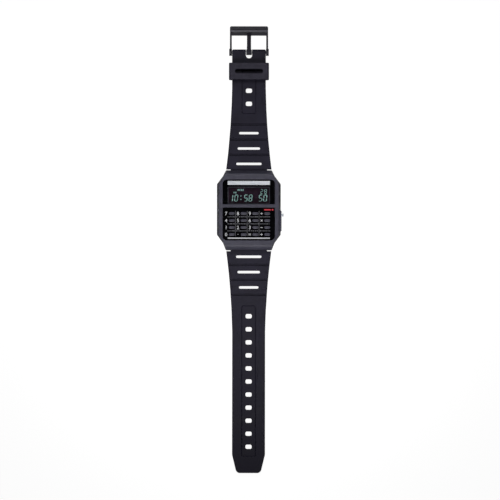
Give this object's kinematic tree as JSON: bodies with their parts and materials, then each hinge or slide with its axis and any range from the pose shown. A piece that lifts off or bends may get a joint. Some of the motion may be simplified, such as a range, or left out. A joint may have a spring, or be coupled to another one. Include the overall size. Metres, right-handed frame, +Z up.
{
  "type": "calculator watch",
  "caption": "Calculator wristwatch with a display over a keypad in a stepped resin case, side buttons, a pin-and-hole strap, a keeper loop and a buckle",
  "frame": {"origin": "centre of the back cover's outer face, where the case rests", "axes": "+X across the watch to the right seen from the front, +Y along the strap towards the buckle, +Z up out of the face"},
  "size_m": [0.0359, 0.2414, 0.0082],
  "materials": {
    "case_resin": "moulded black resin, fine satin",
    "strap_resin": "moulded black flexible resin",
    "window_acrylic": "clear moulded window",
    "panel_plastic": "black printed panel",
    "key_plastic": "moulded grey-black keys",
    "stainless_steel": "brushed stainless steel",
    "spring_steel": "thin rolled spring steel",
    "buckle_metal": "black coated steel",
    "seal_rubber": "moulded seal rubber",
    "mat_rubber": "moulded silicone rubber",
    "module_plastic": "moulded pale plastic",
    "display_glass": "polished thin glass",
    "reflector_foil": "satin foil",
    "board_laminate": "green glass-fibre laminate",
    "chip_resin": "black potting resin",
    "coil_wire": "enamelled copper wire",
    "ceramic_white": "fired ceramic",
    "brass_sheet": "rolled brass",
    "insulating_film": "thin amber film"
  },
  "bodies": {
    "case": {"back_cover": "stainless_steel", "back_gasket": "seal_rubber", "back_screws": "stainless_steel", "battery": "stainless_steel", "battery_clip": "spring_steel", "battery_contact": "spring_steel", "battery_holder": "module_plastic", "button_seals": "seal_rubber", "buzzer_coil": "coil_wire", "buzzer_contact": "spring_steel", "buzzer_crystal": "ceramic_white", "buzzer_plate": "brass_sheet", "capacitors": "ceramic_white", "case_body": "case_resin", "chip": "chip_resin", "circuit_board": "board_laminate", "display_front_glass": "display_glass", "display_rear_glass": "display_glass", "display_reflector": "reflector_foil", "display_window": "window_acrylic", "insulation_sheet": "insulating_film", "key_mat": "mat_rubber", "keypad_panel": "panel_plastic", "module_frame": "module_plastic", "quartz_crystal": "spring_steel", "side_contacts": "spring_steel", "spring_bar_pins": "stainless_steel", "spring_bar_tubes": "stainless_steel", "zebra_strip": "mat_rubber"},
    "strap_short": {"strap_short": "strap_resin"},
    "strap_long": {"strap_long": "strap_resin"},
    "keeper": {"keeper_loop": "strap_resin"},
    "buckle": {"buckle_frame": "buckle_metal", "buckle_pin": "stainless_steel"},
    "tongue": {"buckle_tongue": "buckle_metal"},
    "mode_button": {"mode_button": "stainless_steel", "mode_button_clip": "spring_steel"},
    "adjust_button": {"adjust_button": "stainless_steel", "adjust_button_clip": "spring_steel"},
    "key_0": {"key_0": "key_plastic"},
    "key_1": {"key_1": "key_plastic"},
    "key_2": {"key_2": "key_plastic"},
    "key_3": {"key_3": "key_plastic"},
    "key_4": {"key_4": "key_plastic"},
    "key_5": {"key_5": "key_plastic"},
    "key_6": {"key_6": "key_plastic"},
    "key_7": {"key_7": "key_plastic"},
    "key_8": {"key_8": "key_plastic"},
    "key_9": {"key_9": "key_plastic"},
    "key_divide": {"key_divide": "key_plastic"},
    "key_equals": {"key_equals": "key_plastic"},
    "key_minus": {"key_minus": "key_plastic"},
    "key_multiply": {"key_multiply": "key_plastic"},
    "key_plus": {"key_plus": "key_plastic"},
    "key_point": {"key_point": "key_plastic"}
  },
  "joints": [
    {"name": "strap_short_hinge", "type": "hinge", "parent": "case", "child": "strap_short", "pos_m": [0, 0.0193, 0.0019], "axis": [-1, 0, 0], "range_deg": [0, 75]},
    {"name": "strap_long_hinge", "type": "hinge", "parent": "case", "child": "strap_long", "pos_m": [0, -0.0193, 0.0019], "axis": [1, 0, 0], "range_deg": [0, 75]},
    {"name": "keeper_slide", "type": "slide", "parent": "strap_short", "child": "keeper", "axis": [0, 1, 0], "range_m": [-0.011, 0.001]},
    {"name": "buckle_hinge", "type": "hinge", "parent": "strap_short", "child": "buckle", "pos_m": [0, 0.0854, 0.0019], "axis": [1, 0, 0], "range_deg": [-90, 70]},
    {"name": "tongue_hinge", "type": "hinge", "parent": "buckle", "child": "tongue", "pos_m": [0, 0.0854, 0.0019], "axis": [1, 0, 0], "range_deg": [0, 40]},
    {"name": "mode_button_press", "type": "slide", "parent": "case", "child": "mode_button", "axis": [-1, 0, 0], "range_m": [0, 0.00035], "stiffness_N_per_m": 1200},
    {"name": "adjust_button_press", "type": "slide", "parent": "case", "child": "adjust_button", "axis": [1, 0, 0], "range_m": [0, 0.00035], "stiffness_N_per_m": 1200},
    {"name": "key_0_press", "type": "slide", "parent": "case", "child": "key_0", "axis": [0, 0, -1], "range_m": [0, 0.00035], "stiffness_N_per_m": 1000},
    {"name": "key_1_press", "type": "slide", "parent": "case", "child": "key_1", "axis": [0, 0, -1], "range_m": [0, 0.00035], "stiffness_N_per_m": 1000},
    {"name": "key_2_press", "type": "slide", "parent": "case", "child": "key_2", "axis": [0, 0, -1], "range_m": [0, 0.00035], "stiffness_N_per_m": 1000},
    {"name": "key_3_press", "type": "slide", "parent": "case", "child": "key_3", "axis": [0, 0, -1], "range_m": [0, 0.00035], "stiffness_N_per_m": 1000},
    {"name": "key_4_press", "type": "slide", "parent": "case", "child": "key_4", "axis": [0, 0, -1], "range_m": [0, 0.00035], "stiffness_N_per_m": 1000},
    {"name": "key_5_press", "type": "slide", "parent": "case", "child": "key_5", "axis": [0, 0, -1], "range_m": [0, 0.00035], "stiffness_N_per_m": 1000},
    {"name": "key_6_press", "type": "slide", "parent": "case", "child": "key_6", "axis": [0, 0, -1], "range_m": [0, 0.00035], "stiffness_N_per_m": 1000},
    {"name": "key_7_press", "type": "slide", "parent": "case", "child": "key_7", "axis": [0, 0, -1], "range_m": [0, 0.00035], "stiffness_N_per_m": 1000},
    {"name": "key_8_press", "type": "slide", "parent": "case", "child": "key_8", "axis": [0, 0, -1], "range_m": [0, 0.00035], "stiffness_N_per_m": 1000},
    {"name": "key_9_press", "type": "slide", "parent": "case", "child": "key_9", "axis": [0, 0, -1], "range_m": [0, 0.00035], "stiffness_N_per_m": 1000},
    {"name": "key_divide_press", "type": "slide", "parent": "case", "child": "key_divide", "axis": [0, 0, -1], "range_m": [0, 0.00035], "stiffness_N_per_m": 1000},
    {"name": "key_equals_press", "type": "slide", "parent": "case", "child": "key_equals", "axis": [0, 0, -1], "range_m": [0, 0.00035], "stiffness_N_per_m": 1000},
    {"name": "key_minus_press", "type": "slide", "parent": "case", "child": "key_minus", "axis": [0, 0, -1], "range_m": [0, 0.00035], "stiffness_N_per_m": 1000},
    {"name": "key_multiply_press", "type": "slide", "parent": "case", "child": "key_multiply", "axis": [0, 0, -1], "range_m": [0, 0.00035], "stiffness_N_per_m": 1000},
    {"name": "key_plus_press", "type": "slide", "parent": "case", "child": "key_plus", "axis": [0, 0, -1], "range_m": [0, 0.00035], "stiffness_N_per_m": 1000},
    {"name": "key_point_press", "type": "slide", "parent": "case", "child": "key_point", "axis": [0, 0, -1], "range_m": [0, 0.00035], "stiffness_N_per_m": 1000}
  ]
}
